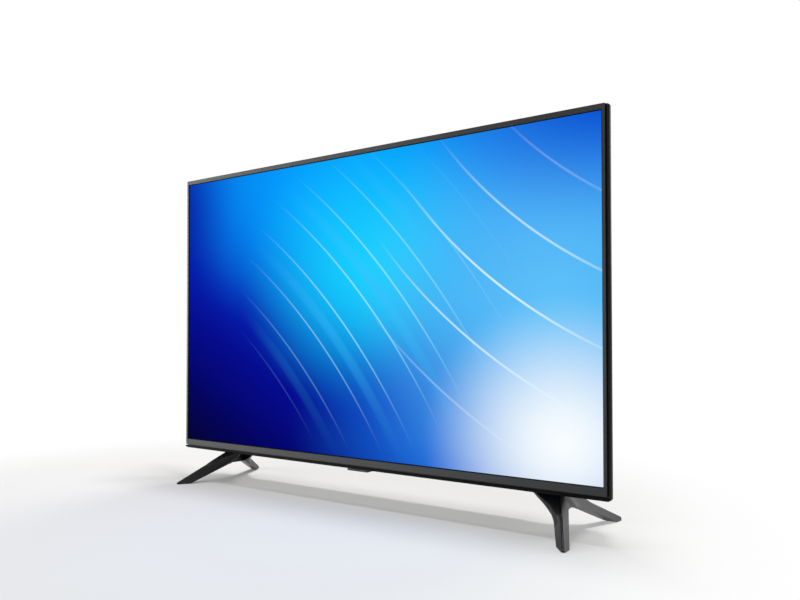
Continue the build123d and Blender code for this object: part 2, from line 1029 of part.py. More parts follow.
def make_transformer():
    y0 = behind(board_back)
    y1 = y0 + transformer_height
    half = transformer_size / 2
    third = transformer_size / 3
    core = block(
        transformer_x - half,
        transformer_x + half,
        y0,
        y1,
        transformer_z - third,
        transformer_z + third,
    )
    bobbin = block(
        transformer_x - third,
        transformer_x + third,
        y0,
        y1,
        transformer_z - half,
        transformer_z + half,
    )
    return core + bobbin


def make_capacitors():
    y0 = behind(board_back)
    return [rod(x, z, capacitor_radius, y0, y0 + capacitor_height) for x, z in capacitor_places]


def make_cooling_plate():
    y0 = behind(board_back)
    half = plate_length / 2
    return block(
        plate_x - half, plate_x + half, y0, y0 + plate_height, plate_z, plate_z + plate_thick
    )


# Source boards low on the tray, and the ribbon from the main board
source_side_gap = 56.0
source_height = 22.0
source_thick = 1.2
source_rise = 13.4
source_gap = 60.0
ribbon_width = 20.0
ribbon_thick = 0.5
ribbon_share = 65 / 72
ribbon_plug_depth = 3.0
ribbon_plug_height = 6.0

source_z = tray_floor_box[2] + source_rise
source_width = bracket_x0 - source_side_gap - source_gap / 2
ribbon_x = along_board(ribbon_share)


def make_source_boards():
    boards = []
    for side in (-1, 1):
        x_mid = side * (source_gap + source_width) / 2
        half = source_width / 2
        z0 = source_z - source_height / 2
        z1 = source_z + source_height / 2
        y0 = behind(tray_back)
        boards.append(block(x_mid - half, x_mid + half, y0, y0 + source_thick, z0, z1))
    return boards


def make_panel_ribbon():
    """A flat ribbon that runs down the tray, from board to board, with a plug at each end."""
    y0 = behind(tray_back)
    x0 = ribbon_x - ribbon_width / 2
    x1 = ribbon_x + ribbon_width / 2
    low = source_z + source_height / 2
    high = main_board_box[2]
    rib = rib_height + source_thick
    flat = block(x0, x1, y0 + rib, y0 + rib + ribbon_thick, low - ribbon_plug_height, high)
    step_front = y0 + source_thick
    low_plug = block(x0, x1, step_front, y0 + rib, low - ribbon_plug_height, low)
    board_y = behind(board_back)
    riser = block(x0, x1, y0 + rib, board_y + ribbon_plug_depth, high - ribbon_thick, high)
    top_plug = block(
        x0, x1, board_y, board_y + ribbon_plug_depth, high, high + ribbon_plug_height
    )
    return flat + low_plug + riser + top_plug


# Legs: each has a front and a rear limb that splay outwards from under the cabinet.
# The sizes belong to the right leg. Reach is how far a place is in front of or behind the
# middle of the leg. Three straight edges run from the crotch to the toe. Each has its place at
# the crotch, outwards from the leg's X and down from the underside, and its shares: how far it
# moves out and falls for each length of reach. A toe ends where its ridge is down to its height.
crotch_reach = 20.5
front_ridge = (0.0, 6.3)
front_ridge_shares = (0.5695, 0.669)
front_inner = (-12.5, 30.0)
front_inner_shares = (0.618, 0.545)
front_outer = (14.5, 24.5)
front_outer_shares = (0.5185, 0.602)
rear_ridge = (-3.8, 7.3)
rear_ridge_shares = (0.654, 0.624)
rear_inner = (-8.8, 29.9)
rear_inner_shares = (0.608, 0.556)
rear_outer = (14.6, 28.9)
rear_outer_shares = (0.578, 0.554)
front_toe_height = 5.018
rear_toe_height = 6.61696
toe_beyond = 14.0
rear_toe_lean_share = 0.6
flare_reach = 52.0
flare_steps = 2
flare_top = (-51.9, 0.0)
flare_middle = (-35.4, 15.5)
flare_share = 0.3
web_thick = 3.0
hollow_inset = 6.9
hollow_roof = 6.5
pad_thick = 0.8
pad_margin = 1.2
ridge_round = 2.5
crotch_round = 10.0
leg_screw_radius = 2.0
leg_screw_insets = (39.9, 21.9)

leg_screw_places = [leg_x - inset for inset in leg_screw_insets]
hollow_top = underside_height - hollow_roof


def leg_place(out, drop):
    """The X and Z of a place on the right leg."""
    return (leg_x + out, underside_height - drop)


def toe_reach(ridge, shares, height):
    """The reach at which a ridge has come down to a height."""
    return crotch_reach + (leg_place(*ridge)[1] - height) / shares[1]


front_toe_reach = toe_reach(front_ridge, front_ridge_shares, front_toe_height)
rear_toe_reach = toe_reach(rear_ridge, rear_ridge_shares, rear_toe_height)
form_reach = max(front_toe_reach, rear_toe_reach) + toe_beyond


def edge_at(y, front, rear):
    """The X and Z of a straight limb edge at one Y."""
    (out, drop), (out_share, fall_share) = front if y < 0 else rear
    step = abs(y) - crotch_reach
    return leg_place(out + out_share * step, drop + fall_share * step)


def ridge_at(y):
    return edge_at(y, (front_ridge, front_ridge_shares), (rear_ridge, rear_ridge_shares))


def inner_at(y):
    return edge_at(y, (front_inner, front_inner_shares), (rear_inner, rear_inner_shares))


def outer_at(y):
    return edge_at(y, (front_outer, front_outer_shares), (rear_outer, rear_outer_shares))


def between(a, b, share):
    return tuple(p + (q - p) * share for p, q in zip(a, b))


def leg_section(y, ridge, top, middle, inner, outer):
    """One upright section of the leg. Its inner side may be hollow like a flare."""
    flare = ThreePointArc(top, middle, inner) if middle else Line(top, inner)
    edges = [Line(ridge, top), flare, Line(inner, outer), Line(outer, ridge)]
    return upright(0, y, 0) * Face(Wire(edges))


def limb_section(y):
    ridge = ridge_at(y)
    inner = inner_at(y)
    top = between(ridge, inner, flare_share)
    return leg_section(y, ridge, top, None, inner, outer_at(y))


def flare_section(y):
    """A section between a limb and the root. The flare grows slowly at first."""
    growth = ((flare_reach - abs(y)) / (flare_reach - crotch_reach)) ** 2
    ridge = ridge_at(y)
    inner = inner_at(y)
    limb_top = between(ridge, inner, flare_share)
    top = between(limb_top, leg_place(*flare_top), growth)
    limb_middle = between(limb_top, inner, 1 / 2)
    middle = between(limb_middle, leg_place(*flare_middle), growth)
    return leg_section(y, ridge, top, middle, inner, outer_at(y))


def root_section(y):
    """The section between the limbs, where the flare meets the cabinet."""
    top = leg_place(*flare_top)
    middle = leg_place(*flare_middle)
    crotch = math.copysign(crotch_reach, y)
    return leg_section(y, ridge_at(y), top, middle, inner_at(crotch), outer_at(crotch))


def flare_stations():
    """The reaches of the sections from the end of the flare to the crotch."""
    step = (flare_reach - crotch_reach) / flare_steps
    return [flare_reach - step * number for number in range(flare_steps)] + [crotch_reach]


def make_leg_form():
    """Both limbs and the root between them, before the hollow and the feet are cut."""
    front_crown = crotch_reach - front_ridge[1] / front_ridge_shares[1]
    rear_crown = crotch_reach - rear_ridge[1] / rear_ridge_shares[1]
    flares = flare_stations()[1:-1]
    front = [limb_section(-form_reach), limb_section(-flare_reach)]
    front += [flare_section(-reach) for reach in flares]
    root = [root_section(y) for y in (-crotch_reach, -front_crown, rear_crown, crotch_reach)]
    back = [flare_section(reach) for reach in reversed(flares)]
    back += [limb_section(flare_reach), limb_section(form_reach)]
    return loft([section.face() for section in front + root + back], ruled=True)


def toe_direction(side):
    """The direction that the end face of the front (-1) or rear (1) toe looks in."""
    if side < 0:
        return (front_ridge_shares[0], side, 0)
    return (rear_ridge_shares[0], side, -rear_toe_lean_share)


def edges_between(shape, point_a, point_b):
    """The edges of a shape whose ends lie at two points, in either order."""
    near = pad_thick / 2
    found = []
    for edge in shape.edges():
        start = edge @ 0
        end = edge @ 1
        forward = (start - point_a).length + (end - point_b).length
        backward = (start - point_b).length + (end - point_a).length
        if min(forward, backward) < near:
            found.append(edge)
    return found


def ridge_point(reach, side):
    x, z = ridge_at(side * reach)
    return Vector(x, side * reach, z)


def make_right_leg():
    leg = make_leg_form()
    for side in (-1, 1):
        y = side * crotch_reach
        inner_x, inner_z = inner_at(y)
        outer_x, outer_z = outer_at(y)
        ends = (Vector(inner_x, y, inner_z), Vector(outer_x, y, outer_z))
        leg = fillet(edges_between(leg, *ends), crotch_round)
    for side in (-1, 1):
        reaches = [form_reach] + flare_stations()
        places = [ridge_point(reach, side) for reach in reaches]
        edges = []
        for start, end in zip(places, places[1:]):
            edges += edges_between(leg, start, end)
        leg = fillet(edges, ridge_round)
    reach = form_reach + overrun
    leg = leg - block(0, leg_x + 2 * reach, -reach, reach, -reach, pad_thick)
    room = crotch_reach - web_thick
    hollow_start = leg_place(*flare_top)[0] - overrun
    leg = leg - block(hollow_start, leg_x - hollow_inset, -room, room, 0, hollow_top)
    for side, toe in ((-1, front_toe_reach), (1, rear_toe_reach)):
        x, z = ridge_at(side * toe)
        toe_plane = Plane(origin=(x, side * toe, z), z_dir=toe_direction(side))
        leg = leg - extrude(toe_plane * Rectangle(reach, reach), amount=reach)
    hole = leg_screw_radius + screw_clearance
    for x in leg_screw_places:
        leg = leg - post(x, 0, hole, 0, underside_height + overrun)
    return leg


def corners_in_order(sole):
    """The corners of a level face, sorted round its middle."""
    middle = sole.center()
    places = [(corner.X, corner.Y) for corner in sole.vertices()]
    return sorted(places, key=lambda place: math.atan2(place[1] - middle.Y, place[0] - middle.X))


def make_leg_pads(leg):
    """A rubber pad under each foot, a little smaller than the sole."""
    soles = leg.faces().filter_by(GeomType.PLANE).group_by(Axis.Z)[0]
    pads = []
    for sole in soles:
        shape = offset(Polygon(*corners_in_order(sole), align=None), amount=-pad_margin)
        pads.append(extrude(shape, amount=pad_thick, dir=(0, 0, 1)))
    return pads


leg_screw_head = 3.6
leg_screw_head_height = 2.4
leg_screw_socket = 1.5
leg_screw_socket_depth = 1.6
leg_screw_beyond = 6.0


def make_leg_screws():
    screws = []
    foot = hollow_top - leg_screw_head_height
    tip = floor_top + bracket_thick + leg_screw_beyond
    for side in (-1, 1):
        for place in leg_screw_places:
            x = side * place
            head = post(x, 0, leg_screw_head, foot, hollow_top)
            socket = post(x, 0, leg_screw_socket, foot, foot + leg_screw_socket_depth)
            screws.append(head - socket + post(x, 0, leg_screw_radius, hollow_top, tip))
    return screws


# Leg brackets: a steel foot on the cover's floor, an upright on the tray and two webs
bracket_thick = 3.0
bracket_sheet = 2.0
bracket_back = 64.0
bracket_height = 84.0
bracket_web = 45.0


def make_right_leg_bracket():
    y0 = behind(tray_back)
    y1 = behind(bracket_back)
    base_top = floor_top + bracket_thick
    y_wall = y0 + bracket_sheet
    base = block(bracket_x0, bracket_x1, y0, y1, floor_top, base_top)
    wall = block(bracket_x0, bracket_x1, y0, y_wall, floor_top, floor_top + bracket_height)
    web_points = [(y_wall, base_top), (y1, base_top), (y_wall, base_top + bracket_web)]
    near_web = prism_x(web_points, bracket_x0, bracket_x0 + bracket_sheet)
    far_web = prism_x(web_points, bracket_x1 - bracket_sheet, bracket_x1)
    bracket = base + wall + near_web + far_web
    hole = leg_screw_radius + screw_clearance
    for x in leg_screw_places:
        bracket = bracket - post(x, 0, hole, 0, base_top + overrun)
    return bracket


def make_rear_cover():
    """The shell, its recess walls, slots, screw holes and the posts of the sensor board."""
    outer = make_rim() + cover_form(0)
    seat = behind(rim_back - cabinet_wall)
    mouth = slab(*grown(bezel_box, rim_gap), 0, behind(rim_setback) - overrun, seat)
    shell = outer - cover_form(cabinet_wall) - mouth
    for box in recesses:
        shell = shell + (recess_cut(box, cabinet_wall) & outer)
    for box in recesses:
        shell = shell - recess_cut(box, 0)
    cuts = socket_cuts() + [inlet_cut(), pod_mouth()]
    cuts += vent_cuts(tower_vent_rows, tower_vent_count, tower_depth)
    cuts += vent_cuts(upper_vent_rows, upper_vent_count, upper_depth)
    cuts += grille_cuts(-1) + grille_cuts(1)
    for x, z in vesa_places:
        hole = insert_radius + insert_clearance
        cuts.append(rod(x, z, hole, behind(tower_depth) - 2 * overrun, behind(tower_depth) + overrun))
    for x, z, back in cover_screw_places:
        y1 = behind(back)
        cuts.append(rod(x, z, screw_radius + screw_clearance, y1 - overrun, y1))
        head = screw_head_radius + screw_clearance
        cuts.append(rod(x, z, head, y1 - screw_head_height / 2, y1 + overrun))
    hole = leg_screw_radius + screw_clearance
    for side in (-1, 1):
        for place in leg_screw_places:
            z1 = floor_top + overrun
            cuts.append(post(side * place, 0, hole, underside_height - overrun, z1))
    shell = shell - cuts
    for side in (-1, 1):
        x = side * (pod_half - 2 * sensor_post_radius)
        y = behind(pod_mid)
        shell = shell + post(x, y, sensor_post_radius, floor_top, sensor_board_base)
    return shell


def make_all():
    right_leg = make_right_leg()
    right_bracket = make_right_leg_bracket()
    right_pads = make_leg_pads(right_leg)
    left_pads = [mirror(pad, about=Plane.YZ) for pad in right_pads]
    pieces = {
        "front_bezel": make_front_bezel(),
        "bezel_gasket": make_bezel_gasket(),
        "lcd_panel": make_lcd_panel(),
        "middle_frame": make_middle_frame(),
        "optical_film": make_optical_film(),
        "diffuser_plate": make_diffuser_plate(),
        "reflector_sheet": make_reflector_sheet(),
        "led_lenses": make_led_lenses(),
        "led_strips": make_led_strips(),
        "backlight_tray": make_backlight_tray(),
        "source_boards": make_source_boards(),
        "panel_ribbon": make_panel_ribbon(),
        "main_board": make_board(main_board_box),
        "power_board": make_board(power_board_box),
        "heat_sink": make_heat_sink(),
        "wifi_module": make_wifi_module(),
        "transformer": make_transformer(),
        "capacitors": make_capacitors(),
        "cooling_plate": make_cooling_plate(),
        "hdmi_sockets": make_hdmi_sockets(),
        "usb_sockets": make_usb_sockets(),
        "lan_socket": make_lan_socket(),
        "optical_socket": make_optical_socket(),
        "aerial_socket": make_aerial_socket(),
        "audio_jack": make_audio_jack(),
        "mains_inlet": make_mains_inlet(),
        "left_speaker_box": make_speaker_box(-1),
        "right_speaker_box": make_speaker_box(1),
        "left_speaker_cone": make_speaker_cone(-1),
        "right_speaker_cone": make_speaker_cone(1),
        "sensor_pod": make_sensor_pod(),
        "sensor_window": pod_window_space(),
        "sensor_board": make_sensor_board(),
        "power_button": make_power_button(),
        "rear_cover": make_rear_cover(),
        "rear_cover_screws": make_rear_cover_screws(),
        "wall_mount_inserts": make_wall_mount_inserts(),
        "bottom_trim": make_bottom_trim(),
        "right_leg": right_leg,
        "left_leg": mirror(right_leg, about=Plane.YZ),
        "leg_pads": right_pads + left_pads,
        "leg_screws": make_leg_screws(),
        "right_leg_bracket": right_bracket,
        "left_leg_bracket": mirror(right_bracket, about=Plane.YZ),
    }
    return pieces


for name, shape in make_all().items():
    save(shape, name)
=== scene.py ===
# %% [markdown]
# # A flat screen television on two splayed legs
#
# The solid pieces come ready made and stay where they are. These cells dress them: a camera, the
# plastics and metals, the picture on the glass, the floor and the light. Lengths are in metres,
# +Z is up and the screen faces -Y.

# %% Load the model
import math

import bpy
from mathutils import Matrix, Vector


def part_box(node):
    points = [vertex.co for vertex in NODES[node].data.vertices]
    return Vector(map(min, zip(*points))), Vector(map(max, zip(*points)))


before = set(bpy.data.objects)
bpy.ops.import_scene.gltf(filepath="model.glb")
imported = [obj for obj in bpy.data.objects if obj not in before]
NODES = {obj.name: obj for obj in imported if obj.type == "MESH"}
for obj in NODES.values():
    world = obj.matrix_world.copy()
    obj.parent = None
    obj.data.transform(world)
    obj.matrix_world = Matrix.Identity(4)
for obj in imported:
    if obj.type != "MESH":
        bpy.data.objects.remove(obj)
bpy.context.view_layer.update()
MM = 0.001

# %% [markdown]
# ## Camera
#
# The camera stands a little over a metre from the set, to its right and somewhat below the middle
# of the screen, and looks back to the left. The picture was cropped off centre, so the lens is
# shifted sideways instead of turning the camera further: that keeps the upright edges as they are.

# %% Camera
CAMERA_PLACE = (0.8639, -0.9374, 0.2980)
CAMERA_TURN_LEFT = 0.5341
CAMERA_RISE = 0.0169
CAMERA_ROLL = 0.0036
FILM_WIDTH = 36.0
LENS = 30.86
LENS_SHIFT = (-0.15, 0.029)
NEAREST_SEEN = 0.01

lens = bpy.data.cameras.new("camera")
lens.sensor_width = FILM_WIDTH
lens.lens = LENS
lens.shift_x, lens.shift_y = LENS_SHIFT
lens.clip_start = NEAREST_SEEN
lens.dof.use_dof = False
camera = bpy.data.objects.new("camera", lens)
bpy.context.scene.collection.objects.link(camera)
camera.location = CAMERA_PLACE
camera.rotation_mode = "XYZ"
camera.rotation_euler = (math.pi / 2 + CAMERA_RISE, CAMERA_ROLL, CAMERA_TURN_LEFT)
bpy.context.scene.camera = camera
print("camera", round(math.hypot(*CAMERA_PLACE[:2]), 2), "m from the middle of the set")

# %% [markdown]
# ## How a finish is written
#
# A colour is written as people read it, in hex, and turned into linear light once. A node is
# added with its settings and its links in one call.

# %% Colours and nodes


def linear(hex_colour):
    """One sRGB hex colour as linear RGBA."""
    values = [int(hex_colour[i : i + 2], 16) / 255 for i in (1, 3, 5)]
    return [v / 12.92 if v <= 0.04045 else ((v + 0.055) / 1.055) ** 2.4 for v in values] + [1.0]


def add_node(tree, kind, inputs=None, **settings):
    """A new node with its settings, and its inputs linked to sockets or set to values."""
    node = tree.nodes.new(kind)
    for key, value in settings.items():
        setattr(node, key, value)
    for key, value in (inputs or {}).items():
        if isinstance(value, bpy.types.NodeSocket):
            tree.links.new(value, node.inputs[key])
        else:
            node.inputs[key].default_value = value
    return node


print("mid grey is", round(linear("#808080")[0], 3), "in linear light")

# %% [markdown]
# ## Grain
#
# Almost every piece of a television is moulded, rolled or pressed, so its surface has a fine
# grain from the tool. The grain is noise of a real size in millimetres. It lifts the surface by
# a tenth of a millimetre at most and makes the gloss a little uneven, which is what the eye reads
# as plastic or sheet metal rather than as a flat colour. A stretch lays the grain along one axis, as
# brushing or rolling does.

# %% A grained finish
GRAIN_DETAIL = 3.0
LIFT_STRENGTH = 0.3


def new_material(name):
    """An empty material, its node tree and its Principled shader."""
    material = bpy.data.materials.new(name)
    material.use_nodes = True
    tree = material.node_tree
    return material, tree, next(n for n in tree.nodes if n.type == "BSDF_PRINCIPLED")


def grained(
    name, colour, rough, grain_mm, uneven=0.05, depth_mm=0.01, stretch=(1, 1, 1), metal=0.0, shine=0.5
):
    """One colour with a grain of a real size and depth, and a gloss that wavers with it."""
    material, tree, shader = new_material(name)
    shader.inputs["Base Color"].default_value = linear(colour)
    shader.inputs["Metallic"].default_value = metal
    shader.inputs["Specular IOR Level"].default_value = shine
    place = add_node(tree, "ShaderNodeTexCoord").outputs["Object"]
    along = add_node(tree, "ShaderNodeMapping", {"Vector": place, "Scale": stretch}).outputs[0]
    scale = 1.0 / (grain_mm * MM)
    grain = add_node(
        tree,
        "ShaderNodeTexNoise",
        {"Vector": along, "Scale": scale, "Detail": GRAIN_DETAIL},
    )
    gloss = add_node(
        tree,
        "ShaderNodeMapRange",
        {"Value": grain.outputs[0], "To Min": rough - uneven, "To Max": rough + uneven},
    )
    lift = add_node(
        tree,
        "ShaderNodeBump",
        {"Height": grain.outputs[0], "Strength": LIFT_STRENGTH, "Distance": depth_mm * MM},
    )
    tree.links.new(gloss.outputs[0], shader.inputs["Roughness"])
    tree.links.new(lift.outputs[0], shader.inputs["Normal"])
    return material


print("a grain of 0.5 mm needs a texture scale of", 1.0 / (0.5 * MM))

# %% [markdown]
# A finish goes into the material slots of a ready-made piece. Its mesh isn't touched.

# %% Dressing a piece
dressed = set()


def dress(material, *nodes):
    """Give CAD pieces one finish. Their shape stays as it is."""
    for node in nodes:
        slots = NODES[node].data.materials
        slots.clear()
        slots.append(material)
        dressed.add(node)
    print(material.name, "on", ", ".join(nodes))


print(len(NODES), "pieces to dress")

# %% [markdown]
# ## Outside plastics
#
# The front frame is injection-moulded ABS with a satin dark grey coat that is brushed along its
# length. It is nearly black, and its light grey look at the far end is the studio's reflection:
# a satin coat spreads a reflection into a long soft change of tone.

# %% Front frame and strip
# Scaled down along X, the grain stretches into long faint lines, as brushing leaves them.
along_x = (0.05, 1, 1)
dress(grained("satin_coated_abs_frame", "#0C0D0E", 0.36, 0.5, 0.04, 0.006, along_x), "front_bezel")
# The strip is black ABS. Its colour and gloss are lowered further as painted shade for the groove and
# its downturned face.
dress(
    grained("moulded_abs_strip_painted_shade", "#050506", 0.45, 0.5, 0.04, 0.006, along_x, shine=0.06),
    "bottom_trim",
)

# %% [markdown]
# The legs and the small pod come from polished tools, so they are smooth. The window in the pod
# and the button under it are small moulded pieces of their own.

# %% Legs, pod, window and button
# The legs are smooth satin, so each facet has one tone with a crisp change at the ridge.
dress(
    grained("satin_moulded_abs_leg", "#101113", 0.34, 0.6, 0.04, 0.006, shine=0.3),
    "left_leg",
    "right_leg",
)
# The pod under the frame is glossier and picks up the pale floor.
dress(grained("gloss_moulded_abs_pod", "#2E3034", 0.26, 0.5, 0.03, 0.004), "sensor_pod")
# The sensor looks through a dark red window that passes infrared light.
dress(grained("infrared_acrylic_window", "#1A0F11", 0.12, 0.5, 0.03, 0.002), "sensor_window")
# The button has a fine grip texture and looks a little duller than the pod round it.
dress(grained("moulded_abs_button", "#1B1C1E", 0.4, 0.5, 0.04, 0.01), "power_button")

# %% [markdown]
# The rear cover is the largest moulding. Its tool was roughened by sparks, which leaves an even
# texture that hides marks and fingerprints.

# %% Rear cover
dress(grained("spark_textured_abs_cover", "#18191B", 0.5, 0.7, 0.08, 0.02, shine=0.3), "rear_cover")

# %% [markdown]
# ## Rubber and foam
#
# Each foot stands on pads of black rubber, moulded matt so that they grip. A strip of open-cell
# foam keeps dust out between the frame and the glass and has no gloss at all.

# %% Soft parts
# Rubber reflects almost nothing, so the pads read as dark soft edges under the toes.
dress(grained("moulded_black_rubber", "#1B1B1C", 0.8, 0.6, 0.08, 0.05), "leg_pads")
# Foam swallows the light in its cells and looks like a black gap.
dress(grained("open_cell_foam", "#0C0C0D", 0.95, 0.4, 0.04, 0.1), "bezel_gasket")

# %% [markdown]
# ## Film stack and backlight
#
# Behind the glass lie the films, a milky diffuser, a white foamed reflector sheet and clear
# moulded acrylic lenses over the lamps. They only show when the set is taken apart, and there
# white and clear pieces stand out against the steel tray.

# %% Films, reflector and boards of the backlight
# The films have a soft milky sheen, and the reflector is an even flat white.
dress(grained("milky_polymer_film", "#DDE0E2", 0.45, 2.0, 0.04, 0.002), "optical_film", "diffuser_plate")
dress(grained("foamed_white_reflector", "#F0F0EC", 0.8, 1.0, 0.05, 0.004), "reflector_sheet")
dress(grained("white_coated_board", "#E6E7E2", 0.5, 0.9, 0.05, 0.004), "led_strips")
# The frame that holds the glass is black, so that no light leaks round the picture.
dress(grained("moulded_polycarbonate_frame", "#151516", 0.6, 0.6, 0.05, 0.02), "middle_frame")

# %% [markdown]
# Each lamp of the backlight sits under a moulded acrylic lens that spreads its light sideways.
# It is clear with a thin bright edge, so it lets light through instead of having a colour.

# %% Lenses
ACRYLIC_IOR = 1.49

clear_lens, _, lens_shader = new_material("clear_acrylic_lens")
lens_shader.inputs["Base Color"].default_value = linear("#F4F6F8")
lens_shader.inputs["Roughness"].default_value = 0.08
lens_shader.inputs["Transmission Weight"].default_value = 0.9
# Acrylic bends light a little less than glass does.
lens_shader.inputs["IOR"].default_value = ACRYLIC_IOR
dress(clear_lens, "led_lenses")

# %% [markdown]
# ## Metal pieces
#
# The tray and the leg brackets are pressed from zinc-coated steel sheet, whose rolling marks run
# one way. Heat sinks are extruded aluminium, sockets have nickel-plated shells, the wall-mount
# inserts are turned brass and the screws are blackened steel.

# %% Steel and aluminium
# Rolling and extruding draw the grain out along the sheet, which breaks up the mirror image.
rolled = (1, 1, 0.1)
dress(
    grained("pressed_zinc_coated_steel", "#A9ABAE", 0.4, 0.6, 0.08, 0.01, rolled, 1.0),
    "backlight_tray",
    "left_leg_bracket",
    "right_leg_bracket",
)
dress(
    grained("extruded_aluminium", "#B6B8BA", 0.42, 0.5, 0.06, 0.01, rolled, 1.0),
    "heat_sink",
    "cooling_plate",
)

# %% [markdown]
# The small metal pieces are what shows on a plain black back: bright nickel in the socket
# recesses, four brass rings for the wall mount and dark screw heads.

# %% Nickel, brass and blackened screws
dress(
    grained("nickel_plate", "#B9BABC", 0.3, 0.5, 0.06, 0.004, metal=1.0),
    "hdmi_sockets",
    "usb_sockets",
    "lan_socket",
    "aerial_socket",
    "wifi_module",
)
dress(grained("turned_brass", "#C3A35A", 0.35, 0.5, 0.06, 0.006, metal=1.0), "wall_mount_inserts")
dress(
    grained("blackened_steel", "#232325", 0.35, 0.4, 0.05, 0.004, metal=0.8),
    "rear_cover_screws",
    "leg_screws",
)

# %% [markdown]
# ## Boards and what stands on them
#
# The circuit boards are glass cloth in epoxy under a green solder mask, which shines softly. The
# flat ribbon is tinned copper between films. Plastic sockets are black, the transformer is
# wrapped in yellow tape and the capacitors wear a dark shrink sleeve.

# %% Boards, ribbon, sockets, transformer and capacitors
dress(
    grained("green_solder_mask", "#1C5A34", 0.45, 0.9, 0.06, 0.01),
    "source_boards",
    "main_board",
    "power_board",
    "sensor_board",
)
# The ribbon's wires run its whole length, so its grain is drawn out that way.
dress(grained("tinned_flat_ribbon", "#B4B4AE", 0.5, 0.5, 0.05, 0.01, (1, 1, 0.02)), "panel_ribbon")
# Nylon sockets and the tape have a soft sheen, and the shrink sleeves are the glossiest.
dress(
    grained("moulded_nylon_socket", "#18181A", 0.45, 0.5, 0.05, 0.01),
    "optical_socket",
    "audio_jack",
    "mains_inlet",
)
dress(grained("polyester_winding_tape", "#C9AE3E", 0.45, 0.8, 0.05, 0.01), "transformer")
dress(grained("shrink_sleeve", "#1D1D2B", 0.25, 0.6, 0.04, 0.002), "capacitors")

# %% [markdown]
# ## Speakers
#
# Two moulded boxes fire downwards. Their cones are pressed paper, black and quite matt, with the
# fibre as a visible grain.

# %% Speakers
dress(
    grained("moulded_abs_speaker_box", "#1C1C1D", 0.6, 0.8, 0.06, 0.03),
    "left_speaker_box",
    "right_speaker_box",
)
dress(
    grained("pressed_paper_cone", "#232323", 0.9, 0.5, 0.05, 0.06),
    "left_speaker_cone",
    "right_speaker_cone",
)

# %% [markdown]
# ## The picture on the screen
#
# A liquid crystal panel makes its own light, so the picture is emission and hardly changes with
# the lamps. It is a plain design of its own: a slope of blues from a dark lower left corner to a
# bright right side, soft pools of cyan and white, and thin arcs of light that fan out.

# %% Where the lit area is
SCREEN_WIDE = 0.9451
SCREEN_HIGH = 0.5316
SCREEN_MIDDLE = 0.3496
GLASS_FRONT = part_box("lcd_panel")[0][1]
screen, screen_tree, screen_shader = new_material("lit_panel_picture")
print("lit area", SCREEN_WIDE, "by", SCREEN_HIGH, "m, on the glass at y", round(GLASS_FRONT, 4))

# %% [markdown]
# The blues run along a slope that climbs to the right. Its colours stand on a ramp, dark first.

# %% Slope of blues
SLOPE_START = (-0.47, 0.06)
SLOPE_LENGTH = 0.9
SLOPE_RISE = math.radians(63)
BLUES = [
    (0.0, "#00001E"),
    (0.13, "#00005E"),
    (0.28, "#01088E"),
    (0.4, "#0120B4"),
    (0.52, "#0148D0"),
    (0.68, "#0178EC"),
    (1.0, "#0188F4"),
]

place = add_node(screen_tree, "ShaderNodeTexCoord").outputs["Object"]
slope = add_node(
    screen_tree,
    "ShaderNodeMapping",
    {
        "Vector": place,
        "Location": (SLOPE_START[0], 0.0, SLOPE_START[1]),
        "Rotation": (0.0, -SLOPE_RISE, 0.0),
        "Scale": (SLOPE_LENGTH, 1.0, 1.0),
    },
    vector_type="TEXTURE",
)
climb = add_node(screen_tree, "ShaderNodeTexGradient", {"Vector": slope.outputs[0]})
ramp = add_node(screen_tree, "ShaderNodeValToRGB", {"Fac": climb.outputs["Fac"]})
stops = ramp.color_ramp.elements
stops[0].position, stops[0].color = BLUES[0][0], linear(BLUES[0][1])
stops[1].position, stops[1].color = BLUES[-1][0], linear(BLUES[-1][1])
for share, blue in BLUES[1:-1]:
    stops.new(share).color = linear(blue)
picture = ramp.outputs[0]
print(len(BLUES), "blues on the slope")

# %% [markdown]
# Soft pools of colour lie over the slope. Each is an oval that fades out to its edge, and a mix
# lays its colour over the picture so far.

# %% One pool of colour
# A Mix node has sockets for each kind of value. These are the ones for colours.
MIX_BELOW = 6
MIX_ABOVE = 7
MIX_RESULT = 2


def soft_spot(at, size, strength):
    """1 times a strength at a place on the glass, smoothly down to 0 at an oval edge."""
    oval = add_node(
        screen_tree,
        "ShaderNodeMapping",
        {"Vector": place, "Location": (at[0], GLASS_FRONT, at[1]), "Scale": (size[0], 1.0, size[1])},
        vector_type="TEXTURE",
    )
    fade = add_node(
        screen_tree,
        "ShaderNodeTexGradient",
        {"Vector": oval.outputs[0]},
        gradient_type="SPHERICAL",
    )
    return add_node(
        screen_tree,
        "ShaderNodeMapRange",
        {"Value": fade.outputs["Fac"], "To Max": strength},
        interpolation_type="SMOOTHSTEP",
    ).outputs[0]


def painted(below, colour, amount):
    """The picture so far with one colour laid over it by an amount."""
    laid = {"Factor": amount, MIX_BELOW: below, MIX_ABOVE: linear(colour)}
    return add_node(screen_tree, "ShaderNodeMix", laid, data_type="RGBA").outputs[MIX_RESULT]


print("a pool is a place, a size and a strength")

# %% [markdown]
# Azure lies along the top, with cyan below its middle. Sky blue fills the right side and white
# glows low in it. The two corners at the top stay deep blue.

# %% Pools of colour
picture = painted(picture, "#00A0FF", soft_spot((-0.06, 0.56), (0.50, 0.28), 1.0))
picture = painted(picture, "#14CEFE", soft_spot((0.04, 0.42), (0.36, 0.28), 1.0))
